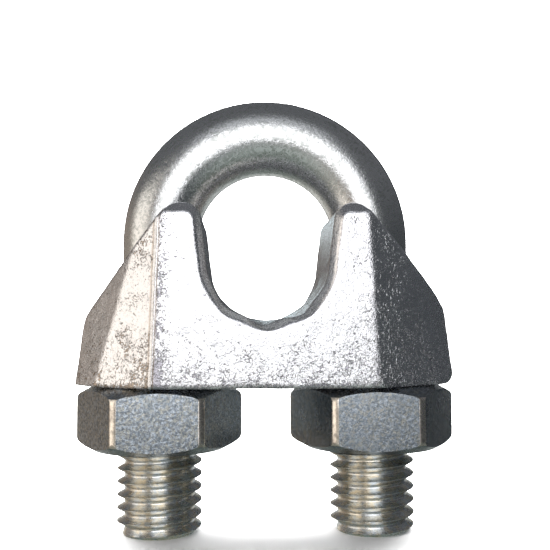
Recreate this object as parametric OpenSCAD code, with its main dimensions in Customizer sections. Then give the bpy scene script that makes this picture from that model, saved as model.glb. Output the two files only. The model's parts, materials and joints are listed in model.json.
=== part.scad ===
// Wire rope clip for 13 mm (1/2 in) rope: forged U-bolt, cast saddle and two hex nuts.
// Millimetres. Origin: axis of the live rope where it lies in the saddle's seat, midway through
// the saddle. +Y runs along the rope, +Z points up to the crown of the U-bolt.

/* [Rope seat] */
// Radius of the saddle's seat under the live rope
seat_r = 6.75;             // [6.6:0.05:7.2]
// Outward slope of the seat's side walls, degrees
seat_flare = 7.5;          // [4:0.5:12]

/* [Saddle] */
// Thickness of the saddle along the rope
saddle_t = 18.6;           // [16:0.2:22]
// Half width of the saddle at its base
base_half = 22.3;          // [21:0.1:24]
// Half width of the flat front and back faces
front_half = 12.7;         // [12:0.1:14]
// Angle of the facets beside the front and back faces, degrees
facet_turn = 32;           // [15:1:40]
// Depth of the flat base below the rope axis
base_drop = 14.2;          // [12:0.1:16]
// Height of the ears above the rope axis
ear_top = 6.3;             // [5:0.1:8]
// Half width of the ears at their top
ear_half = 11.3;           // [11:0.1:12.5]
// Height where the ramps meet the ends, from the rope axis
ramp_foot = -6.1;          // [-9:0.1:-4]
// Radius of the ears' rounded inner corners
ear_round = 1.9;           // [0.5:0.1:2]
// Radius of the two leg holes
hole_r = 5.2;              // [5.1:0.05:6]
// Inward lean of the saddle's end facets, degrees
end_draft = 7;             // [0:0.5:10]

/* [U-bolt] */
// Distance from the middle to each leg's axis
leg_x = 12.55;             // [12:0.1:13.5]
// Radius of the plain rod
rod_r = 4.45;              // [4:0.05:5]
// Height of the centre of the bend above the rope axis
bend_z = 2.7;              // [0:0.1:6]
// Major radius of the thread on the legs
thread_r = 4.95;           // [4.85:0.05:5]
// Top of the thread on the legs
thread_top = -10.4;        // [-14:0.1:-8]
// Lower end of the legs
leg_end = -31.4;           // [-34:0.1:-28]

/* [Nuts] */
// Width across flats
nut_af = 17;               // [16:0.5:18]
// Height of a nut
nut_h = 7.3;               // [7:0.1:8.4]
// Radius over the nut's rounded corners
nut_edge_r = 9.7;          // [9.4:0.01:9.81]
// Radius of the nut's bore at the thread
nut_bore_r = 5;            // [4.95:0.01:5.1]
// Turn of the left nut from square, degrees
nut_turn_left = 3.5;       // [-30:0.1:30]
// Turn of the right nut from square, degrees
nut_turn_right = -3;       // [-30:0.1:30]

/* [Hidden] */
$fn = 96;

half_t = saddle_t / 2;
nut_corner_r = nut_af / 2 / cos(30);
nut_gap = 0.05;
nut_top = -base_drop - nut_gap;
// Tangent point of the seat's side walls on the seat's circle.
wall_x = seat_r * cos(seat_flare);
wall_z = -seat_r * sin(seat_flare);
wall_top = ear_top - ear_round;
wall_top_x = wall_x + (wall_top - wall_z) * tan(seat_flare);
// How far the facets beside the front face fall back by the end of the base.
facet_run = (base_half + 1 - front_half) * tan(facet_turn);

saddle();
u_bolt();
nut_left();
nut_right();

// Plan of the saddle at its base: flat front and back faces, with facets beside them that the
// end trims carry on around the legs.
module saddle_plan() {
    polygon([
        [-front_half, -half_t],
        [front_half, -half_t],
        [base_half + 1, -half_t + facet_run],
        [base_half + 1, half_t - facet_run],
        [front_half, half_t],
        [-front_half, half_t],
        [-base_half - 1, half_t - facet_run],
        [-base_half - 1, -half_t + facet_run]
    ]);
}

// A block that trims one end: its face starts at a point of the base, is turned to the angle
// given in plan and leans inward by the draft.
module end_trim(at, turn) {
    translate([at[0], at[1], -base_drop])
        rotate([0, 0, turn])
            rotate([0, -end_draft, 0])
                translate([0, -20, -5])
                    cube([10, 40, 40]);
}

module end_trims() {
    end_trim([base_half, 0], 0);
    end_trim([19.3, -5.15], -40);
    end_trim([19.3, 5.15], 40);
}

// Front view of the saddle: flat base, upright ends, ramps and two ears.
module saddle_front() {
    polygon([
        [-base_half + 0.6, -base_drop],
        [base_half - 0.6, -base_drop],
        [base_half, -base_drop + 0.6],
        [base_half, ramp_foot - 2],
        [base_half - 1.05, ramp_foot],
        [ear_half + 0.3, ear_top - 1],
        [ear_half - 0.6, ear_top],
        [-ear_half + 0.6, ear_top],
        [-ear_half - 0.3, ear_top - 1],
        [-base_half + 1.05, ramp_foot],
        [-base_half, ramp_foot - 2],
        [-base_half, -base_drop + 0.6]
    ]);
}

module seat_cut() {
    rotate([90, 0, 0])
        cylinder(h = saddle_t + 2, r = seat_r, center = true);
    rotate([90, 0, 0])
        linear_extrude(height = saddle_t + 2, center = true)
            polygon(concat(
                [[-wall_x, wall_z], [wall_x, wall_z]],
                [for (a = [0:11.25:90])
                    [wall_top_x + ear_round * (1 - cos(a)), wall_top + ear_round * sin(a)]],
                [[wall_top_x + ear_round, ear_top + 4], [-wall_top_x - ear_round, ear_top + 4]],
                [for (a = [90:-11.25:0])
                    [-wall_top_x - ear_round * (1 - cos(a)), wall_top + ear_round * sin(a)]]
            ));
}

module leg_hole(x) {
    translate([x, 0, -base_drop - 1])
        cylinder(h = base_drop + ear_top + 2, r = hole_r);
}

module saddle() {
    color([0.80, 0.81, 0.82])
    difference() {
        intersection() {
            translate([0, 0, -base_drop])
                linear_extrude(height = base_drop + ear_top)
                    saddle_plan();
            rotate([90, 0, 0])
                linear_extrude(height = saddle_t, center = true)
                    saddle_front();
        }
        end_trims();
        mirror([1, 0, 0])
            end_trims();
        seat_cut();
        leg_hole(-leg_x);
        leg_hole(leg_x);
    }
}

// One leg: plain rod, then the thread at its major diameter with a chamfered end.
module leg(x) {
    translate([x, 0, thread_top])
        cylinder(h = bend_z - thread_top, r = rod_r);
    translate([x, 0, leg_end])
        rotate_extrude()
            polygon([
                [0, 0],
                [thread_r - 0.8, 0],
                [thread_r, 0.8],
                [thread_r, thread_top - leg_end - 0.45],
                [rod_r, thread_top - leg_end],
                [0, thread_top - leg_end]
            ]);
}

module u_bolt() {
    color([0.74, 0.76, 0.77])
    union() {
        translate([0, 0, bend_z])
            rotate([90, 0, 0])
                rotate_extrude(angle = 180)
                    translate([leg_x, 0])
                        circle(r = rod_r);
        leg(-leg_x);
        leg(leg_x);
    }
}

// Hex nut with 30 degree chamfers on both faces; the bore is countersunk at each end.
module hex_nut(x, turn) {
    face_r = nut_af / 2 - 0.75;
    drop = (nut_edge_r - face_r) * tan(30);
    translate([x, 0, nut_top - nut_h])
        difference() {
            intersection() {
                rotate([0, 0, turn])
                    cylinder(h = nut_h, r = nut_corner_r, $fn = 6);
                rotate_extrude()
                    polygon([
                        [0, 0],
                        [face_r, 0],
                        [nut_edge_r, drop],
                        [nut_edge_r, nut_h - drop],
                        [face_r, nut_h],
                        [0, nut_h]
                    ]);
            }
            rotate_extrude()
                polygon([
                    [0, -1],
                    [nut_bore_r + 0.4, -1],
                    [nut_bore_r + 0.4, 0],
                    [nut_bore_r, 0.4],
                    [nut_bore_r, nut_h - 0.4],
                    [nut_bore_r + 0.4, nut_h],
                    [nut_bore_r + 0.4, nut_h + 1],
                    [0, nut_h + 1]
                ]);
        }
}

module nut_left() {
    color([0.60, 0.62, 0.60])
    hex_nut(-leg_x, nut_turn_left);
}

module nut_right() {
    color([0.60, 0.62, 0.60])
    hex_nut(leg_x, nut_turn_right);
}
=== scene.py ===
"""Wire rope clip for 13 mm rope: a bent and threaded U-bolt, a cast saddle and two hex nuts.

Metres, in the part's own frame: the origin is the axis of the live rope in the saddle's seat,
+Y runs along the rope and +Z points up to the crown of the U-bolt.
"""

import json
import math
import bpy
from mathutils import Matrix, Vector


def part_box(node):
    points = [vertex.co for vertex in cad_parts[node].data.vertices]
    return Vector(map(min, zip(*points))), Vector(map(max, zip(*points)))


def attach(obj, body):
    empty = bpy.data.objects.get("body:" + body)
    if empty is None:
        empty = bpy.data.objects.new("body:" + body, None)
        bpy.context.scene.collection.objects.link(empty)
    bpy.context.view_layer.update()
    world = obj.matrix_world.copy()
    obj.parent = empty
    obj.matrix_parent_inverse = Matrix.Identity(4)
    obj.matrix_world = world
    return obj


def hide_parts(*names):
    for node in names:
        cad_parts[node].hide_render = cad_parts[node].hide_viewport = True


bl_info = {
    "name": "Wire Rope Clip",
    "version": (1, 0, 0),
    "blender": (4, 5, 0),
    "location": "View3D > Sidebar > Rope Clip",
    "description": "Builds a galvanised wire rope clip with true threads on a studio floor",
    "category": "Add Mesh",
}

import bmesh
import bpy
from bpy.props import FloatProperty, FloatVectorProperty, IntProperty, PointerProperty
from mathutils import Matrix, Vector, noise

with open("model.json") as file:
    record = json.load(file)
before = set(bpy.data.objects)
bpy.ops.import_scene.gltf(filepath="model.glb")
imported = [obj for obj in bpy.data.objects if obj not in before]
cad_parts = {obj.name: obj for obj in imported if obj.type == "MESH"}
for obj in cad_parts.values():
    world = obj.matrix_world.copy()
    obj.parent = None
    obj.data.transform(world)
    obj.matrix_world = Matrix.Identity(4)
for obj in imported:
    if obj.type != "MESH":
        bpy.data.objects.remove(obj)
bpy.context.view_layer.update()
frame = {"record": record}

MM = 0.001
SEAT = next(m for m in frame["record"]["mounts"] if m["name"] == "rope_seat")
SADDLE_LOW, SADDLE_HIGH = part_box("saddle")
BOLT_LOW, BOLT_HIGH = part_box("u_bolt")
NUT_LOW, NUT_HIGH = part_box("nut_left")
JOINTS = {j["name"]: j for j in frame["record"]["behaviour"]["joints"]}
LEG_X = JOINTS["nut_right_turn"]["pos_m"][0]
# vertices closer than this are one
WELD = 1e-7


def length(name, description, default):
    """A size that a user would change, in metres."""
    return FloatProperty(
        name=name,
        description=description,
        default=default,
        min=0.0,
        precision=5,
        subtype="DISTANCE",
        unit="LENGTH",
    )


def angle(name, description, degrees):
    """An angle that a user would change, given in degrees."""
    return FloatProperty(
        name=name,
        description=description,
        default=math.radians(degrees),
        subtype="ANGLE",
        unit="ROTATION",
    )


def colour(name, description, default):
    """A finish's colour, linear."""
    return FloatVectorProperty(
        name=name,
        description=description,
        default=default,
        size=3,
        min=0.0,
        max=1.0,
        subtype="COLOR",
    )


class ThreadSizes(bpy.types.PropertyGroup):
    """The M10 x 1.5 thread that the legs and the nuts share."""

    pitch: length("Pitch", "Distance between crests", 1.5 * MM)
    crest: length("Crest radius", "Outer radius of the leg's thread", 4.95 * MM)
    root: length("Root radius", "Inner radius of the leg's thread", 4.06 * MM)
    nut_root: length("Nut root radius", "Outer radius of the nut's thread", 5.01 * MM)
    nut_crest: length("Nut crest radius", "Inner radius of the nut's thread", 4.25 * MM)
    steps: IntProperty(
        name="Steps",
        description="Steps in each turn of the thread",
        default=60,
        min=12,
        max=120,
    )
    phase: angle("Start", "Turn of the thread about its leg", -20)


class BoltSizes(bpy.types.PropertyGroup):
    """The U-bolt."""

    leg_x: length("Leg offset", "From the middle to each leg's axis", LEG_X)
    rod: length("Rod radius", "Radius of the plain rod", 4.45 * MM)
    thread_length: length("Thread length", "Threaded length of each leg", 21 * MM)
    end_chamfer: length("End chamfer", "Chamfer at the end of each leg", 0.8 * MM)


class SaddleSizes(bpy.types.PropertyGroup):
    """The cast saddle."""

    seat: length("Seat radius", "Radius of the rope seat", SEAT["dims"]["r_mm"] * MM)
    flare: angle("Seat flare", "Outward slope of the seat's side walls", 7.5)
    hole: length("Leg hole radius", "Radius of the two leg holes", 5.2 * MM)
    hole_neck: length("Leg hole neck", "Radius of the leg holes beside the ears", 4.75 * MM)
    front_half: length("Front half width", "Half width of the flat front face", 12.7 * MM)
    facet: angle("Facet turn", "Angle of the facets beside the front and back faces", 32)
    ear_half: length("Ear half width", "Half width over the ears", 11.3 * MM)
    ear_round: length("Ear rounding", "Radius of the ears' inner corners", 1.9 * MM)
    ear_crown: length("Ear crown", "Radius of the ears' outer corners", 2.0 * MM)
    draft: angle("End draft", "Inward lean of the end facets", 7)
    rim: length("Rim width", "Width of the sloping rim, across the face", 0.78 * MM)
    rim_depth: length("Rim depth", "Depth of the sloping rim, along the rope", 1.1 * MM)
    strand_depth: length("Strand groove depth", "Depth of the rope-lay grooves", 0.6 * MM)
    strand_gap: angle("Strand spacing", "Angle between rope-lay grooves round the seat", 39)
    lay: length("Rope lay", "Length of one turn of the rope's strands", 85 * MM)
    grain: length("Mesh grain", "Size of the casting's mesh faces", 0.24 * MM)


class NutSizes(bpy.types.PropertyGroup):
    """The two hex nuts."""

    flats: length("Across flats", "Spanner size", 17 * MM)
    edge: length("Corner radius", "Radius over the rounded corners", 9.7 * MM)
    round: length("Corner rounding", "Width of a corner's rounding on each flat", 0.5 * MM)
    face: length("Face radius", "Radius of the flat seating ring", 7.75 * MM)
    turn_left: angle("Left turn", "Turn of the left nut from square", 3.5)
    turn_right: angle("Right turn", "Turn of the right nut from square", -3)


class FinishColours(bpy.types.PropertyGroup):
    """Colours of the zinc finishes and the floor."""

    cast_zinc: colour("Cast zinc", "Hot-dip zinc on the casting", (0.84, 0.84, 0.86))
    cast_pit: colour("Cast pits", "Dark bottoms of the casting's pits", (0.24, 0.22, 0.28))
    # this brown is also the painted shadow along each side of the saddle's corner ridge
    cast_rust_and_shadow: colour("Cast rust", "Brown bottoms of the pits on the left end", (0.42, 0.34, 0.27))
    rod_zinc: colour("Rod zinc", "Zinc on the U-bolt", (0.72, 0.73, 0.73))
    rod_dull: colour("Rod dull", "Duller mottling on the U-bolt", (0.42, 0.44, 0.42))
    thread_zinc: colour("Thread zinc", "Zinc on the threads", (0.66, 0.69, 0.70))
    thread_gold: colour("Thread gold", "Yellowish film on the threads", (0.76, 0.71, 0.60))
    nut_zinc: colour("Nut zinc", "Zinc on the nuts", (0.48, 0.53, 0.58))
    nut_warm: colour("Nut warm", "Warmer grains on the nuts", (0.46, 0.46, 0.42))
    nut_dull: colour("Nut dull", "Darker grains on the nuts", (0.17, 0.20, 0.23))
    # painted highlight: the bright colour given to the nuts' rounded corners
    nut_edge_highlight: colour("Nut edges", "Worn zinc along the nuts' edges", (0.86, 0.80, 0.72))
    floor: colour("Floor", "Pale studio floor", (0.90, 0.90, 0.90))


# ---------------------------------------------------------------- mesh helpers


def verts_in(geometry):
    """The vertices of what a bmesh operator gave back."""
    return [v for v in geometry if isinstance(v, bmesh.types.BMVert)]


def edges_in(geometry):
    """The edges of what a bmesh operator gave back."""
    return [e for e in geometry if isinstance(e, bmesh.types.BMEdge)]


def placed(name, bm):
    """An object in the scene made from a bmesh, which is freed."""
    mesh = bpy.data.meshes.new(name)
    bm.to_mesh(mesh)
    bm.free()
    obj = bpy.data.objects.new(name, mesh)
    bpy.context.scene.collection.objects.link(obj)
    return obj


def finished(name, bm, body, node, materials):
    """A piece from a bmesh: smooth, facing outwards, riding on its body in place of its node."""
    bmesh.ops.remove_doubles(bm, verts=bm.verts, dist=WELD)
    bmesh.ops.recalc_face_normals(bm, faces=bm.faces)
    piece = placed(name, bm)
    for material in materials:
        piece.data.materials.append(material)
    piece.data.shade_smooth()
    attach(piece, body)
    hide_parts(node)
    return piece


def chain(bm, points, closed=False):
    """A few vertices joined by edges."""
    verts = [bm.verts.new(p) for p in points]
    pairs = list(zip(verts, verts[1:]))
    if closed:
        pairs.append((verts[-1], verts[0]))
    return verts, [bm.edges.new(p) for p in pairs]


def cut_off(bm, point, normal):
    """Cuts off what lies beyond a plane and returns the edges of the cut."""
    cut = bmesh.ops.bisect_plane(
        bm,
        geom=bm.verts[:] + bm.edges[:] + bm.faces[:],
        dist=WELD,
        plane_co=point,
        plane_no=normal,
        clear_outer=True,
    )
    return edges_in(cut["geom_cut"])


def trim(bm, point, normal):
    """Cuts off what lies beyond a plane and closes the cut."""
    edges = cut_off(bm, point, normal)
    if edges:
        bmesh.ops.holes_fill(bm, edges=edges)


def grow(bm, edges, shift):
    """Extrudes a row of edges by a shift and returns the new row."""
    grown = bmesh.ops.extrude_edge_only(bm, edges=edges)["geom"]
    bmesh.ops.translate(bm, vec=shift, verts=verts_in(grown))
    return edges_in(grown)


def sweep(bm, geometry, turn, steps, centre=(0, 0, 0), axis=(0, 0, 1), rise=0.0, merge=False):
    """Sweeps geometry round an axis, rising at each step, and returns where it ends."""
    return bmesh.ops.spin(
        bm,
        geom=geometry,
        cent=centre,
        axis=axis,
        dvec=(0, 0, rise),
        angle=turn,
        steps=steps,
        use_merge=merge,
        use_duplicate=False,
    )["geom_last"]


def lathe(profile, centre):
    """A closed turned solid: (radius, height) points swept about an upright axis."""
    bm = bmesh.new()
    verts, edges = chain(bm, [(r, 0, z) for r, z in profile])
    sweep(bm, verts + edges, math.tau, 96, merge=True)
    bmesh.ops.remove_doubles(bm, verts=bm.verts, dist=WELD)
    bmesh.ops.translate(bm, vec=centre, verts=bm.verts)
    bmesh.ops.recalc_face_normals(bm, faces=bm.faces)
    return bm


def thread_shell(x, crest, root, low, high, sizes, flat=0.07 * MM):
    """An open tube with a right-hand helical thread about the leg at x, cut flat at both ends."""
    pitch, steps = sizes.pitch, sizes.steps
    flank = (crest - root) * math.tan(math.radians(30))
    tip = pitch / 2 - flat / 2 - flank
    # how far the crest and the root are rounded
    ease = 0.07 * MM
    profile = [
        (root, 0.0),
        (root + ease * 0.3, tip * 0.62),
        (root + ease, tip + ease * 0.58),
        (crest - ease * 0.5, pitch / 2 - flat * 0.75),
        (crest, pitch / 2 - flat * 0.25),
        (crest, pitch / 2 + flat * 0.25),
        (crest - ease * 0.5, pitch / 2 + flat * 0.75),
        (root + ease, pitch - tip - ease * 0.58),
        (root + ease * 0.3, pitch - tip * 0.62),
        (root, pitch),
    ]
    bm = bmesh.new()
    start = (math.floor(low / pitch) - 2) * pitch
    turns = math.ceil((high - start) / pitch) + 2
    verts, edges = chain(bm, [(r, 0, start + z) for r, z in profile])
    bmesh.ops.rotate(
        bm, verts=verts, cent=(0, 0, 0), matrix=Matrix.Rotation(sizes.phase, 3, "Z")
    )
    sweep(bm, verts + edges, math.tau * turns, steps * turns, rise=pitch / steps)
    bmesh.ops.remove_doubles(bm, verts=bm.verts, dist=WELD)
    for height, side in ((low, -1), (high, 1)):
        cut_off(bm, (0, 0, height), (0, 0, side))
    # the slivers that the cuts leave
    bmesh.ops.remove_doubles(bm, verts=bm.verts, dist=0.004 * MM)
    bmesh.ops.translate(bm, vec=(x, 0, 0), verts=bm.verts)
    return bm


def open_edges(bm, height, near_x=None):
    """The open edges that lie at a height, round one leg if its x is given."""
    level, reach = 0.002 * MM, 6 * MM
    return [
        e
        for e in bm.edges
        if e.is_boundary
        and all(abs(v.co.z - height) < level for v in e.verts)
        and (near_x is None or all(abs(v.co.x - near_x) < reach for v in e.verts))
    ]


def add(bm, other):
    """Joins another bmesh into this one and frees it."""
    mesh = bpy.data.meshes.new("joined")
    other.to_mesh(mesh)
    other.free()
    bm.from_mesh(mesh)
    bpy.data.meshes.remove(mesh)


def carved(bm, cutters, operation="DIFFERENCE", grain=None):
    """The solid with the cutters taken away, or kept in common, as a new bmesh.

    With a grain, the result is remeshed to even faces of that size.
    """
    body = placed("blank", bm)
    tools = [placed("cutter", c) for c in cutters]
    for cutter in tools:
        cut = body.modifiers.new("cut", "BOOLEAN")
        cut.operation = operation
        cut.solver = "EXACT"
        cut.object = cutter
    if grain:
        even = body.modifiers.new("even", "REMESH")
        even.mode = "VOXEL"
        even.voxel_size = grain
    graph = bpy.context.evaluated_depsgraph_get()
    made = bmesh.new()
    made.from_mesh(body.evaluated_get(graph).to_mesh())
    body.evaluated_get(graph).to_mesh_clear()
    for obj in [body] + tools:
        mesh = obj.data
        bpy.data.objects.remove(obj)
        bpy.data.meshes.remove(mesh)
    if not made.faces:
        raise RuntimeError("the cut left nothing")
    return made


# ---------------------------------------------------------------- materials


class Nodes:
    """The node tree of a material or of the world, with short calls to add to it."""

    def __init__(self, owner, output="ShaderNodeOutputMaterial", place="Object"):
        owner.use_nodes = True
        self.owner = owner
        self.tree = owner.node_tree
        self.tree.nodes.clear()
        self.out = self.add(output)
        self.place = self.add("ShaderNodeTexCoord").outputs[place]

    def add(self, kind, **values):
        node = self.tree.nodes.new(kind)
        for key, value in values.items():
            setattr(node, key, value)
        return node

    def link(self, source, target):
        self.tree.links.new(source, target)

    def feed(self, target, value):
        if isinstance(value, bpy.types.NodeSocket):
            self.link(value, target)
        else:
            target.default_value = value

    def noise(self, size, detail=3.0, roughness=0.6, distortion=0.0, stretch=None):
        """Noise whose blotches are about the given size in metres."""
        node = self.add("ShaderNodeTexNoise")
        node.inputs["Scale"].default_value = 1.0 / size
        node.inputs["Detail"].default_value = detail
        node.inputs["Roughness"].default_value = roughness
        node.inputs["Distortion"].default_value = distortion
        where = self.place
        if stretch:
            mapping = self.add("ShaderNodeMapping")
            mapping.inputs["Scale"].default_value = stretch
            self.link(where, mapping.inputs["Vector"])
            where = mapping.outputs["Vector"]
        self.link(where, node.inputs["Vector"])
        return node.outputs["Fac"]

    def split(self):
        """The position's X and Z."""
        node = self.add("ShaderNodeSeparateXYZ")
        self.link(self.place, node.inputs["Vector"])
        return node.outputs["X"], node.outputs["Z"]

    def remap(self, value, low, high, to_low=0.0, to_high=1.0):
        """A value eased from one range to another and held beyond its ends."""
        node = self.add("ShaderNodeMapRange", interpolation_type="SMOOTHSTEP")
        self.link(value, node.inputs["Value"])
        node.inputs["From Min"].default_value = low
        node.inputs["From Max"].default_value = high
        node.inputs["To Min"].default_value = to_low
        node.inputs["To Max"].default_value = to_high
        return node.outputs["Result"]

    def maths(self, operation, first, second):
        node = self.add("ShaderNodeMath", operation=operation)
        self.feed(node.inputs[0], first)
        self.feed(node.inputs[1], second)
        return node.outputs["Value"]

    def plus(self, first, second):
        return self.maths("ADD", first, second)

    def minus(self, first, second):
        return self.maths("SUBTRACT", first, second)

    def times(self, first, second):
        return self.maths("MULTIPLY", first, second)

    def size_of(self, value):
        return self.maths("ABSOLUTE", value, 0.0)

    def mix(self, amount, first, second):
        """A colour between two."""
        node = self.add("ShaderNodeMix", data_type="RGBA")
        self.feed(node.inputs["Factor"], amount)
        for key, value in (("A", first), ("B", second)):
            socket = [s for s in node.inputs if s.name == key and s.type == "RGBA"][0]
            self.feed(socket, value if isinstance(value, bpy.types.NodeSocket) else (*value, 1))
        return [s for s in node.outputs if s.type == "RGBA"][0]

    def bump(self, height, depth, strength=1.0, under=None):
        """Relief of the given depth in metres."""
        node = self.add("ShaderNodeBump")
        node.inputs["Strength"].default_value = strength
        node.inputs["Distance"].default_value = depth
        self.link(height, node.inputs["Height"])
        if under is not None:
            self.link(under, node.inputs["Normal"])
        return node.outputs["Normal"]

    def metal(self, base, roughness, normal):
        """The finished metal."""
        shader = self.add("ShaderNodeBsdfPrincipled")
        shader.inputs["Metallic"].default_value = 1.0
        self.feed(shader.inputs["Base Color"], base)
        self.feed(shader.inputs["Roughness"], roughness)
        self.link(normal, shader.inputs["Normal"])
        self.link(shader.outputs["BSDF"], self.out.inputs["Surface"])
        return self.owner


def shaded(tint, part):
    """A colour darkened to a part of itself."""
    return tuple(c * part for c in tint)


def cast_zinc(finish):
    """Hot-dip zinc on a sand casting: bright, with pits and strokes that crowd at the rims."""
    n = Nodes(bpy.data.materials.new("cast_zinc"))
    across, height = n.split()
    face_end = 12.4 * MM
    base = -14.0 * MM
    lumps = n.noise(1.8 * MM, 2.0, 0.5)
    skin = n.noise(0.50 * MM, 3.0, 0.60, 1.8)
    coarse = n.noise(1.1 * MM, 3.0, 0.6, 1.5)
    fine = n.noise(0.15 * MM, 2.0, 0.6)
    patches = n.noise(2.6 * MM, 3.0, 0.65)
    right = n.remap(across, 11.4 * MM, 12.8 * MM)
    left = n.remap(across, -12.3 * MM, -12.9 * MM)

    # how thickly the pits lie: more towards the base and on the right-hand half of the face
    crowd = n.remap(height, -14.2 * MM, -5.5 * MM, 1.2, 0.0)
    crowd = n.plus(crowd, n.remap(across, 1.0 * MM, 11 * MM, 0.0, 0.5))
    crowd = n.plus(crowd, n.remap(height, -14.1 * MM, -13.5 * MM, 1.6, 0.0))
    crowd = n.times(crowd, n.remap(patches, 0.34, 0.62, 0.4, 1.0))
    # distance from the left-hand corner, which wanders and leans
    wander = n.times(n.noise(3.0 * MM, 1.0, 0.5), 0.2 * MM)
    corner = n.plus(n.plus(across, face_end), wander)
    corner = n.minus(corner, n.times(n.plus(height, -base), 0.035))
    edge = n.remap(corner, 0.25 * MM, 1.8 * MM, 1.0, 0.0)
    edge = n.times(edge, n.remap(corner, -0.10 * MM, 0.05 * MM))
    crowd = n.plus(crowd, n.times(edge, n.remap(patches, 0.40, 0.55, 0.9, 2.1)))
    # the left end is pitted in patches, and all over near the ear
    crowd = n.plus(crowd, n.times(left, n.remap(patches, 0.38, 0.62, 0.15, 0.85)))
    crowd = n.plus(crowd, n.times(left, n.remap(height, -1.5 * MM, 2.5 * MM, 0.0, 0.9)))
    depth = n.plus(n.times(skin, 0.7), n.times(coarse, 0.3))
    depth = n.minus(depth, n.times(crowd, 0.07))
    pits = n.remap(depth, 0.30, 0.38, 1.0, 0.0)

    # short curled strokes where the zinc drew back as it froze
    curl = n.size_of(n.minus(n.noise(0.85 * MM, 2.0, 0.5, 0.9), 0.5))
    curl = n.remap(curl, 0.004, 0.026, 1.0, 0.0)
    curl = n.times(curl, n.remap(n.noise(0.45 * MM, 1.0, 0.5), 0.44, 0.54))
    curl = n.times(curl, n.remap(crowd, 0.25, 0.9))
    pits = n.maths("MAXIMUM", pits, curl)
    # a thin raised line of zinc down the left-hand corner keeps clear of them
    off_line = n.size_of(n.plus(corner, 0.30 * MM))
    ridge = n.remap(off_line, 0.14 * MM, 0.26 * MM, 1.0, 0.0)
    # painted shadow: a thin line along each side of the raised line, tinted rust-brown below
    ridge_shadow = n.minus(n.remap(off_line, 0.34 * MM, 0.46 * MM, 1.0, 0.0), ridge)
    pits = n.times(pits, n.minus(1.0, ridge))

    clean = tuple(finish.cast_zinc)
    rust_and_shadow = tuple(finish.cast_rust_and_shadow)
    shade = n.mix(n.remap(patches, 0.4, 0.7), clean, shaded(clean, 0.92))
    pit = n.mix(left, tuple(finish.cast_pit), rust_and_shadow)
    tint = n.mix(n.times(pits, n.remap(left, 0.0, 1.0, 0.58, 0.85)), shade, pit)
    # paints the shadow lines beside the raised line in the rust colour
    tint = n.mix(n.times(ridge_shadow, 0.55), tint, rust_and_shadow)
    rough = n.remap(fine, 0.3, 0.7, 0.20, 0.30)
    normal = n.bump(lumps, 0.05 * MM)
    normal = n.bump(n.remap(pits, 0.0, 1.0, 1.0, 0.0), 0.045 * MM, 1.0, normal)
    normal = n.bump(skin, 0.05 * MM, 0.9, normal)
    normal = n.bump(fine, 0.012 * MM, 0.8, normal)
    normal = n.bump(ridge, 0.03 * MM, 1.0, normal)

    # sparse raised crystals that glint on the shaded right-hand facet
    glint = n.remap(n.noise(0.30 * MM, 1.0, 0.5), 0.50, 0.70)
    near = n.remap(across, 12.6 * MM, 17 * MM, 1.0, 0.12)
    glint = n.times(n.times(glint, right), near)
    glint = n.times(glint, n.remap(n.noise(0.9 * MM, 1.0, 0.5), 0.42, 0.56))
    normal = n.bump(glint, 0.095 * MM, 1.0, normal)
    return n.metal(tint, rough, normal)


def rod_zinc(finish):
    """Bright zinc on smooth bent rod, with fine mottling."""
    n = Nodes(bpy.data.materials.new("rod_zinc"))
    mottle = n.noise(0.42 * MM, 3.0, 0.65, 0.5)
    fine = n.noise(0.16 * MM, 2.0, 0.6)
    broad = n.noise(4 * MM, 2.0, 0.5)
    amount = n.times(n.remap(mottle, 0.46, 0.62), n.remap(broad, 0.3, 0.7, 0.3, 0.9))
    base = n.mix(amount, tuple(finish.rod_zinc), tuple(finish.rod_dull))
    rough = n.remap(mottle, 0.3, 0.7, 0.20, 0.34)
    normal = n.bump(broad, 0.05 * MM)
    normal = n.bump(mottle, 0.038 * MM, 0.9, normal)
    normal = n.bump(fine, 0.012 * MM, 0.8, normal)
    return n.metal(base, rough, normal)


def thread_zinc(finish):
    """Zinc with a patchy yellowish film on the rolled threads."""
    n = Nodes(bpy.data.materials.new("thread_zinc"))
    mottle = n.noise(0.35 * MM, 3.0, 0.6, 0.3)
    streak = n.noise(0.5 * MM, 2.0, 0.6, 0.0, (0.3, 0.3, 3.0))
    dull = shaded(finish.thread_zinc, 0.55)
    film = n.noise(0.9 * MM, 2.0, 0.5, 0.3)
    tint = n.mix(n.remap(film, 0.42, 0.58), tuple(finish.thread_zinc), tuple(finish.thread_gold))
    base = n.mix(n.remap(mottle, 0.46, 0.68, 0.0, 0.4), tint, dull)
    rough = n.remap(streak, 0.3, 0.7, 0.22, 0.35)
    normal = n.bump(streak, 0.02 * MM, 0.9)
    normal = n.bump(mottle, 0.02 * MM, 0.9, normal)
    return n.metal(base, rough, normal)


def nut_zinc(finish, name, tone):
    """Grey zinc on cold-formed flats, with a fine even grain, darkened by the tone, which paints
    shade on the right-hand nut.
    """
    n = Nodes(bpy.data.materials.new(name))
    grain = n.noise(0.30 * MM, 4.0, 0.78, 0.5)
    tint = n.noise(0.45 * MM, 3.0, 0.65)
    broad = n.noise(2.5 * MM, 2.0, 0.5)
    bright = n.mix(
        n.remap(tint, 0.42, 0.58),
        shaded(finish.nut_zinc, tone),
        shaded(finish.nut_warm, tone),
    )
    base = n.mix(n.remap(grain, 0.40, 0.62), bright, tuple(finish.nut_dull))
    rough = n.remap(broad, 0.3, 0.7, 0.21, 0.28)
    normal = n.bump(broad, 0.02 * MM)
    normal = n.bump(grain, 0.022 * MM, 0.9, normal)
    return n.metal(base, rough, normal)


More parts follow.
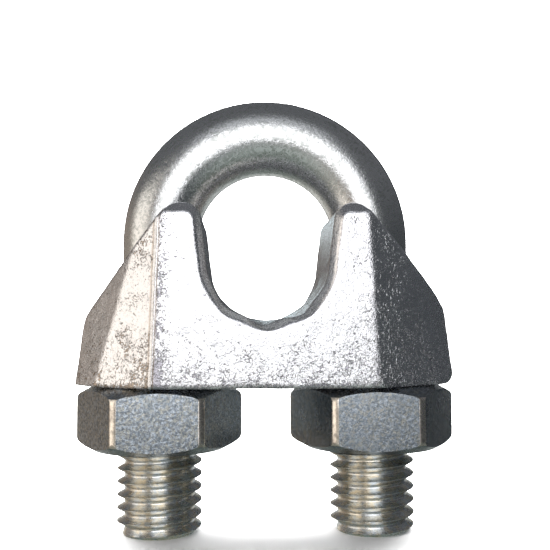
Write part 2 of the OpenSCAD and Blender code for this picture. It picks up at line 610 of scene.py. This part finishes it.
def nut_edge_highlight(finish):
    """Painted highlight: bright zinc colour along a nut's rounded edges."""
    n = Nodes(bpy.data.materials.new("nut_edge_highlight"))
    highlight_grain = n.noise(0.6 * MM, 3.0, 0.6)
    bright = tuple(finish.nut_edge_highlight)
    base = n.mix(n.remap(highlight_grain, 0.42, 0.66), bright, shaded(bright, 0.6))
    rough = n.remap(highlight_grain, 0.3, 0.7, 0.24, 0.36)
    return n.metal(base, rough, n.bump(highlight_grain, 0.015 * MM, 0.8))


def floor_paint(finish):
    """Matt pale floor with the faintest unevenness."""
    n = Nodes(bpy.data.materials.new("floor_paint"))
    tone = n.noise(50 * MM, 2.0)
    shader = n.add("ShaderNodeBsdfPrincipled")
    pale = tuple(finish.floor)
    tint = n.mix(n.remap(tone, 0.3, 0.7), pale, shaded(pale, 0.99))
    n.link(tint, shader.inputs["Base Color"])
    shader.inputs["Roughness"].default_value = 0.9
    n.link(shader.outputs["BSDF"], n.out.inputs["Surface"])
    return n.owner


# ---------------------------------------------------------------- pieces


class CLIP_OT_bolt(bpy.types.Operator):
    """Bends the rod into a U and gives both legs their rolled thread"""

    bl_idname = "clip.bolt"
    bl_label = "U-bolt"

    def execute(self, context):
        scene = context.scene
        sizes, thread = scene.clip_bolt, scene.clip_thread
        low = BOLT_LOW.z
        top = low + sizes.thread_length
        # the rod starts a little above the thread, and the gap between them is bridged
        rod, join = sizes.rod, top + 0.35 * MM
        bend = BOLT_HIGH.z - rod - sizes.leg_x
        rungs = 6
        rung = Vector((0, 0, (bend - join) / rungs))

        # The plain rod: up the left leg, round the bend, down the right leg.
        bm = bmesh.new()
        ring = bmesh.ops.create_circle(
            bm, cap_ends=False, segments=72, radius=rod,
            matrix=Matrix.Translation((-sizes.leg_x, 0, join)),
        )["verts"]
        loop = list({e for v in ring for e in v.link_edges})
        for _ in range(rungs):
            loop = grow(bm, loop, rung)
        ends = loop + list({v for e in loop for v in e.verts})
        turned = sweep(bm, ends, math.pi, 96, centre=(0, 0, bend), axis=(0, 1, 0))
        loop = edges_in(turned)
        for _ in range(rungs):
            loop = grow(bm, loop, -rung)

        # The threads: they run out into the rod at the top and are chamfered at the end.
        runout, runout_start = 1.5 * MM, 1.6 * MM
        for x in (-sizes.leg_x, sizes.leg_x):
            leg = thread_shell(x, thread.crest, thread.root, low, top, thread)
            for v in leg.verts:
                out = Vector((v.co.x - x, v.co.y))
                fade = min(1.0, max(0.0, (v.co.z - top + runout_start) / runout))
                fade = fade * fade * (3 - 2 * fade)
                r = out.length * (1 - fade) + rod * fade
                r = min(r, thread.crest - sizes.end_chamfer + (v.co.z - low))
                v.co.x, v.co.y = x + out.x * r / out.length, out.y * r / out.length
            bmesh.ops.holes_fill(leg, edges=open_edges(leg, low))
            add(bm, leg)
            seam = open_edges(bm, top, x) + open_edges(bm, join, x)
            bmesh.ops.bridge_loops(bm, edges=seam)
        bmesh.ops.triangulate(bm, faces=[f for f in bm.faces if len(f.verts) > 4])
        piece = finished(
            "bent_rod", bm, "u_bolt", "u_bolt",
            [rod_zinc(scene.clip_finish), thread_zinc(scene.clip_finish)],
        )
        thread_end = top - 0.4 * MM
        for face in piece.data.polygons:
            face.material_index = 1 if face.center.z < thread_end else 0
        piece.data.set_sharp_from_angle(angle=math.radians(48))
        return {"FINISHED"}


class CLIP_OT_saddle(bpy.types.Operator):
    """Casts the saddle: trimmed block, rope seat, leg holes, rope-lay grooves and a lumpy skin"""

    bl_idname = "clip.saddle"
    bl_label = "Saddle"

    def execute(self, context):
        scene = context.scene
        s = scene.clip_saddle
        half_x, half_y = SADDLE_HIGH.x, SADDLE_HIGH.y
        low, high = SADDLE_LOW.z, SADDLE_HIGH.z
        # the ears start a little tall, because the softening takes some off
        spare = 0.25 * MM
        block = bmesh.new()
        bmesh.ops.create_cube(
            block, size=1.0,
            matrix=Matrix.Translation((0, 0, (low + high + spare) / 2))
            @ Matrix.Diagonal((2 * half_x + 2 * MM, 2 * half_y, high + spare - low, 1)),
        )
        # where each long facet meets the leaning end facet, and that facet's turn in plan
        end_x, end_y, end_turn = 19.36 * MM, 5.22 * MM, math.radians(40)
        ear_z = high - 1.0 * MM
        # The ends differ a little: each has its side, the half width of its front face, the
        # lean of its long facets, the ramp's foot, the ear's outer corner and how far the
        # foot's rounding cuts in, in millimetres.
        ends = (
            (
                -1, s.front_half, 0.018,
                (half_x - 0.85 * MM, -6.4 * MM), (s.ear_half + 0.35 * MM, ear_z), 0.10,
            ),
            (
                1, s.front_half - 0.35 * MM, 0.028,
                (half_x - 0.60 * MM, -5.3 * MM), (s.ear_half + 0.15 * MM, ear_z), 0.35,
            ),
        )
        crowns = {}
        for side, front, lean_in, foot, ear, cut_in in ends:
            for face in (-1, 1):
                # long facet beside the front face, then the leaning end facet
                trim(
                    block, (side * front, face * half_y, low),
                    (side * math.sin(s.facet), face * math.cos(s.facet), lean_in),
                )
                lean = Matrix.Rotation(-s.draft, 3, "Y") @ Vector((1, 0, 0))
                lean = Matrix.Rotation(face * end_turn, 3, "Z") @ lean
                trim(
                    block,
                    (side * end_x, face * end_y, low),
                    (side * abs(lean.x), face * abs(lean.y), abs(lean.z)),
                )
            trim(
                block, (side * (half_x + 0.12 * MM), 0, low),
                (side * math.cos(s.draft), 0, math.sin(s.draft)),
            )
            if side > 0:
                # the right-hand end's lower corner is knocked off
                trim(block, (half_x - 0.9 * MM, 0, low), (0.7, 0, -0.7))
            # ramp, its rounded foot and the ear's rounded outer corner
            foot = Vector((side * foot[0], 0, foot[1]))
            ear = Vector((side * ear[0], 0, ear[1]))
            along = ear - foot
            slope = Vector((side * abs(along.z), 0, abs(along.x))).normalized()
            trim(block, foot, slope)
            for turn in (0.25, 0.55, 0.85):
                part = (slope * (1 - turn) + Vector((side, 0, 0.12)) * turn).normalized()
                trim(block, foot - part * cut_in * MM, part)
            middle = high - s.ear_crown
            reach = (s.ear_crown + slope.z * (middle - ear.z)) / abs(slope.x)
            centre = Vector((ear.x - side * reach, 0, middle))
            crowns[side] = abs(centre.x)
            for turn in (0.2, 0.4, 0.6, 0.8):
                part = (slope * (1 - turn) + Vector((0, 0, 1)) * turn).normalized()
                trim(block, centre + part * s.ear_crown, part)

        r, flare = s.seat, s.flare
        wall = Vector((r * math.cos(flare), -r * math.sin(flare)))
        crown = s.ear_round
        top = high + 4 * MM
        wide = wall.x + (high - crown - wall.y) * math.tan(flare)
        seat = bmesh.new()
        arc_steps, corner_steps = 48, 8
        arc = []
        for i in range(arc_steps + 1):
            a = (flare - math.pi / 2) + i * (math.pi - 2 * flare) / arc_steps
            arc.append((r * math.sin(a), 0, -r * math.cos(a)))
        corner = []
        for i in range(corner_steps + 1):
            a = i * math.pi / 2 / corner_steps
            corner.append(
                (wide + crown - crown * math.cos(a), 0, high - crown + crown * math.sin(a))
            )
        corner.append((wide + crown, 0, top))
        verts, edges = chain(
            seat, arc + corner + [(-x, y, z) for x, y, z in reversed(corner)], closed=True
        )
        face = seat.faces.new(verts)
        bmesh.ops.translate(seat, vec=(0, -half_y - MM, 0), verts=verts)
        grown = bmesh.ops.extrude_face_region(seat, geom=[face])["geom"]
        bmesh.ops.translate(seat, vec=(0, 2 * half_y + 2 * MM, 0), verts=verts_in(grown))
        bmesh.ops.recalc_face_normals(seat, faces=seat.faces)
        holes = []
        for x in (-LEG_X, LEG_X):
            profile = [
                (0, low - MM), (s.hole, low - MM), (s.hole, 0), (s.hole_neck, 0.6 * MM),
                (s.hole_neck, high + MM), (0, high + MM),
            ]
            holes.append(lathe(profile, (x, 0, 0)))
        bm = carved(block, [seat] + holes, grain=s.grain)

        # Slope the rims of the seat and the ears, front and back. At each vertex, out points
        # into the metal and deep is the distance below the nearest such surface.
        for v in bm.verts:
            x, y, z = v.co
            if z > wall.y:
                out = Vector((math.copysign(math.cos(flare), x), 0, -math.sin(flare)))
                deep = (abs(x) - wall.x) * math.cos(flare) - (z - wall.y) * math.sin(flare)
            else:
                out = Vector((x, 0, z)).normalized()
                deep = math.hypot(x, z) - r
            rim = s.rim
            inner_x, inner_z = abs(x) - wide - crown, z - high + crown
            outer_x, outer_z = abs(x) - crowns[1 if x > 0 else -1], z - high + s.ear_crown
            if inner_x < 0 < inner_z:
                # the ear's inner corner: the rim widens towards the top
                off = math.hypot(inner_x, inner_z)
                out = Vector((math.copysign(-inner_x, x), 0, -inner_z)) / off
                deep = crown - off
                rim *= 1.0 + 0.5 * inner_z / off
            elif outer_x > 0 and outer_z > 0.86 * outer_x:
                # the ear's outer corner: the rim narrows to nothing at the ramp
                off = math.hypot(outer_x, outer_z)
                out = Vector((-math.copysign(outer_x, x), 0, -outer_z)) / off
                deep = s.ear_crown - off
                rim *= 0.25 + 1.25 * min(1.0, (outer_z / off - 0.65) / 0.22)
            elif high - z < deep:
                out, deep, rim = Vector((0, 0, -1)), high - z, 1.5 * rim
            short = 1.0 - deep / rim - (half_y - abs(y)) / s.rim_depth
            if short > 0.0:
                v.co += out * rim * short / 2
                v.co.y -= math.copysign(s.rim_depth * short / 2, y)
        # Soften every edge as a sand mould does.
        for _ in range(4):
            bmesh.ops.smooth_vert(
                bm, verts=bm.verts, factor=0.5, use_axis_x=True, use_axis_y=True, use_axis_z=True
            )
        bmesh.ops.recalc_face_normals(bm, faces=bm.faces)
        bm.normal_update()
        # the grooves reach this far under the seat's surface and fade over this depth
        skin, skin_fade = 1.3 * MM, 0.9 * MM
        groove_half, groove_spread = 0.42, math.radians(50)
        for v in bm.verts:
            co = v.co.copy()
            reach = math.hypot(co.x, co.z)
            move = Vector()
            # rope-lay grooves, deepest at the bottom and gone by the seat's walls
            if reach < r + skin and co.z < 2 * MM:
                across_seat = math.atan2(co.x, -co.z)
                strand = across_seat + (co.y + half_y) * math.tau / s.lay
                across = (strand / s.strand_gap + 0.5) % 1.0 - 0.5
                valley = max(0.0, 1.0 - (abs(across) / groove_half) ** 1.3)
                fade = math.exp(-((across_seat / groove_spread) ** 2))
                fade *= min(1.0, max(0.0, (r + skin - reach) / skin_fade))
                move += Vector((co.x, 0, co.z)).normalized() * valley * fade * s.strand_depth
            lump = noise.fractal(co / (5 * MM), 1.0, 2.0, 2) * 0.06 * MM
            lump += noise.noise(co / (1.3 * MM)) * 0.022 * MM
            v.co = co + move + v.normal * lump
        # nothing leaves the saddle's box
        for v in bm.verts:
            v.co.x = min(max(v.co.x, -half_x), half_x)
            v.co.y = min(max(v.co.y, -half_y), half_y)
            v.co.z = min(max(v.co.z, low), high)
        zinc = cast_zinc(scene.clip_finish)
        finished("cast_saddle", bm, "saddle", "saddle", [zinc])
        return {"FINISHED"}


class CLIP_OT_nuts(bpy.types.Operator):
    """Forms the two hex nuts with chamfered faces, rounded corners and a cut thread"""

    bl_idname = "clip.nuts"
    bl_label = "Nuts"

    def execute(self, context):
        scene = context.scene
        sizes, thread = scene.clip_nut, scene.clip_thread
        low, high = NUT_LOW.z, NUT_HIGH.z
        tall = high - low
        # painted highlight for the nuts' rounded corners
        corner_highlight = nut_edge_highlight(scene.clip_finish)
        corner_r = sizes.flats / 2 / math.cos(math.radians(30))
        # radius and height of the chamfer that runs into the rounded corners
        shoulder = [
            (sizes.face, 0.0),
            (sizes.flats / 2, 0.43 * MM),
            (sizes.edge - 0.45 * MM, 0.82 * MM),
            (sizes.edge - 0.20 * MM, 1.02 * MM),
            (sizes.edge - 0.07 * MM, 1.30 * MM),
            (sizes.edge, 1.75 * MM),
        ]
        for name, x, turn, tone in (
            ("nut_left", -LEG_X, sizes.turn_left, 1.0),
            # painted shade: the right-hand nut's zinc is darkened to 0.74
            ("nut_right", LEG_X, sizes.turn_right, 0.74),
        ):
            hexagon = bmesh.new()
            bmesh.ops.create_cone(
                hexagon, cap_ends=True, segments=6,
                radius1=corner_r,
                radius2=corner_r,
                depth=tall,
                matrix=Matrix.Translation((x, 0, (low + high) / 2))
                @ Matrix.Rotation(turn + math.radians(30), 4, "Z"),
            )
            upright = [
                e for e in hexagon.edges
                if abs(e.verts[0].co.z - e.verts[1].co.z) > tall / 2
            ]
            bmesh.ops.bevel(
                hexagon, geom=upright, offset=sizes.round, offset_type="OFFSET",
                affect="EDGES", segments=4, profile=0.5, material=-1,
            )
            upper = [(r, tall - z) for r, z in reversed(shoulder)]
            turned = lathe([(0, 0)] + shoulder + upper + [(0, tall)], (x, 0, low))
            shell = carved(hexagon, [turned], "INTERSECT")
            core = thread_shell(
                x, thread.nut_root, thread.nut_crest, low - MM, high + MM, thread, 0.3 * MM
            )
            for height in (low - MM, high + MM):
                bmesh.ops.holes_fill(core, edges=open_edges(core, height))
            bmesh.ops.triangulate(core, faces=[f for f in core.faces if len(f.verts) > 4])
            bmesh.ops.recalc_face_normals(core, faces=core.faces)
            # the bore's mouth is countersunk at both faces
            mouth, sunk = 5.4 * MM, 0.9 * MM
            sink = lathe(
                [
                    (0, -MM), (mouth, -MM), (mouth, 0), (mouth - sunk, sunk),
                    (mouth - sunk, tall - sunk), (mouth, tall),
                    (mouth, tall + MM), (0, tall + MM),
                ],
                (x, 0, low),
            )
            bm = carved(shell, [core, sink])
            bm.normal_update()
            # the rounded corners get a painted highlight, a brighter material
            highlight_from = sizes.edge - 0.45 * MM
            for face in bm.faces:
                centre = face.calc_center_median()
                out = math.hypot(centre.x - x, centre.y)
                if out > highlight_from and abs(face.normal.z) < 0.6:
                    face.material_index = 1
            zinc = nut_zinc(scene.clip_finish, name + "_zinc", tone)
            piece = finished("hex_" + name, bm, name, name, [zinc, corner_highlight])
            piece.data.set_sharp_from_angle(angle=math.radians(24))
        return {"FINISHED"}


class CLIP_OT_stage(bpy.types.Operator):
    """Lays the pale floor, sets the soft studio light and the camera"""

    bl_idname = "clip.stage"
    bl_label = "Stage"

    def softbox(self, name, place, aim, size, power, tint):
        light = bpy.data.lights.new(name, "AREA")
        light.shape = "RECTANGLE"
        light.size, light.size_y = size
        light.energy = power
        light.color = tint
        lamp = bpy.data.objects.new(name, light)
        lamp.location = place
        lamp.rotation_euler = (Vector(aim) - Vector(place)).to_track_quat("-Z", "Y").to_euler()
        lamp.visible_camera = False
        bpy.context.scene.collection.objects.link(lamp)
        return lamp

    def execute(self, context):
        scene = context.scene
        finish = scene.clip_finish
        low = BOLT_LOW.z

        # the floor runs back from the clip and curves up behind it
        half, near, far, rise = 3, -1.2, 1.5, 2.5
        paper = bmesh.new()
        profile = [(-half, near, low), (-half, far, low), (-half, far, low + rise)]
        verts, edges = chain(paper, profile)
        grow(paper, edges, (2 * half, 0, 0))
        crease = [
            e for e in paper.edges
            if len(e.link_faces) == 2 and all(abs(v.co.y - far) < 1e-6 for v in e.verts)
        ]
        bmesh.ops.bevel(
            paper, geom=crease, offset=0.9, offset_type="OFFSET", affect="EDGES",
            segments=16, profile=0.5, material=-1,
        )
        bmesh.ops.recalc_face_normals(paper, faces=paper.faces)
        floor = placed("floor", paper)
        floor.data.shade_smooth()
        floor.data.materials.append(floor_paint(finish))
        # the lamps below the floor light the clip through it
        floor.visible_glossy = False
        floor.visible_shadow = False

        # a dim room, warmer on the left, behind a backdrop of the floor's colour
        world = bpy.data.worlds.new("studio")
        n = Nodes(world, "ShaderNodeOutputWorld", "Generated")
        across, height = n.split()
        right_wall, left_wall = (0.058, 0.064, 0.070), (0.34, 0.285, 0.24)
        walls = n.mix(n.remap(across, -0.75, 0.15), left_wall, right_wall)
        upper = n.mix(n.remap(height, 0.02, 0.6), walls, (0.125, 0.13, 0.14))
        whole = n.mix(n.remap(height, -0.85, -0.15), (0.20, 0.23, 0.21), upper)
        room = n.add("ShaderNodeBackground")
        backdrop = n.add("ShaderNodeBackground")
        backdrop.inputs["Color"].default_value = (*finish.floor, 1)
        ray = n.add("ShaderNodeLightPath")
        seen = n.add("ShaderNodeMixShader")
        n.link(whole, room.inputs["Color"])
        n.link(ray.outputs["Is Camera Ray"], seen.inputs["Fac"])
        n.link(room.outputs["Background"], seen.inputs[1])
        n.link(backdrop.outputs["Background"], seen.inputs[2])
        n.link(seen.outputs["Shader"], n.out.inputs["Surface"])
        scene.world = world

        # name, place, aim, width and height, watts, tint
        for lamp in (
            (
                "key", (-0.010, -0.20, 0.045), (-0.010, 0, 0.010),
                (0.155, 0.17), 0.18, (0.98, 0.98, 1.0),
            ),
            (
                "top_glow", (0.0, -0.155, 0.18), (0, 0, 0),
                (0.20, 0.09), 0.026, (0.93, 0.95, 1.0),
            ),
            (
                "low_fill", (0.0, -0.15, -0.105), (0, 0, 0.01),
                (0.26, 0.08), 0.020, (0.92, 1.0, 0.98),
            ),
            (
                "left_warm", (-0.18, -0.075, 0.01), (0, 0, -0.005),
                (0.17, 0.18), 0.105, (1.0, 0.94, 0.86),
            ),
            (
                "back_strip", (-0.020, 0.20, 0.045), (0.008, 0, 0.0),
                (0.024, 0.034), 0.0045, (0.84, 0.97, 1.0),
            ),
            (
                "back_fill", (0.0, 0.26, -0.075), (0, 0, -0.01),
                (0.50, 0.15), 0.13, (0.97, 1.0, 0.97),
            ),
        ):
            self.softbox(*lamp)
        floor_wash = self.softbox(
            "floor_wash", (0, 0.6, 1.2), (0, 0.9, 0), (2.0, 1.2), 160, (1, 1, 1)
        )
        floor_wash.visible_glossy = False

        data = bpy.data.cameras.new("camera")
        data.sensor_width = 36
        data.lens = 52.43
        data.clip_start = 0.01
        data.clip_end = 20
        camera = bpy.data.objects.new("camera", data)
        eye = (-0.0030, -0.09624, -0.00720)
        heading, tilt, roll = (math.radians(a) for a in (-2.45, 93.52, -0.18))
        camera.matrix_world = (
            Matrix.Translation(eye)
            @ Matrix.Rotation(heading, 4, "Z")
            @ Matrix.Rotation(tilt, 4, "X")
            @ Matrix.Rotation(roll, 4, "Z")
        )
        scene.collection.objects.link(camera)
        scene.camera = camera
        scene.view_settings.view_transform = "Standard"
        return {"FINISHED"}


class CLIP_PT_panel(bpy.types.Panel):
    """Lists the clip's pieces in the order that they are built"""

    bl_idname = "CLIP_PT_panel"
    bl_label = "Wire Rope Clip"
    bl_space_type = "VIEW_3D"
    bl_region_type = "UI"
    bl_category = "Rope Clip"

    def draw(self, context):
        layout = self.layout
        for operator in OPERATORS:
            layout.operator(operator.bl_idname)
        for group in SETTINGS:
            box = layout.box()
            settings = getattr(context.scene, group)
            for key in settings.bl_rna.properties.keys():
                if key not in ("rna_type", "name"):
                    box.prop(settings, key)


OPERATORS = (CLIP_OT_bolt, CLIP_OT_saddle, CLIP_OT_nuts, CLIP_OT_stage)
SETTINGS = {
    "clip_thread": ThreadSizes,
    "clip_bolt": BoltSizes,
    "clip_saddle": SaddleSizes,
    "clip_nut": NutSizes,
    "clip_finish": FinishColours,
}


def register():
    for cls in (*SETTINGS.values(), *OPERATORS, CLIP_PT_panel):
        bpy.utils.register_class(cls)
    for name, group in SETTINGS.items():
        setattr(bpy.types.Scene, name, PointerProperty(type=group))


def unregister():
    for name in SETTINGS:
        delattr(bpy.types.Scene, name)
    for cls in (CLIP_PT_panel, *reversed(OPERATORS), *reversed(list(SETTINGS.values()))):
        bpy.utils.unregister_class(cls)


def main():
    register()
    bpy.ops.clip.bolt()
    bpy.ops.clip.saddle()
    bpy.ops.clip.nuts()
    bpy.ops.clip.stage()


if __name__ == "__main__":
    main()
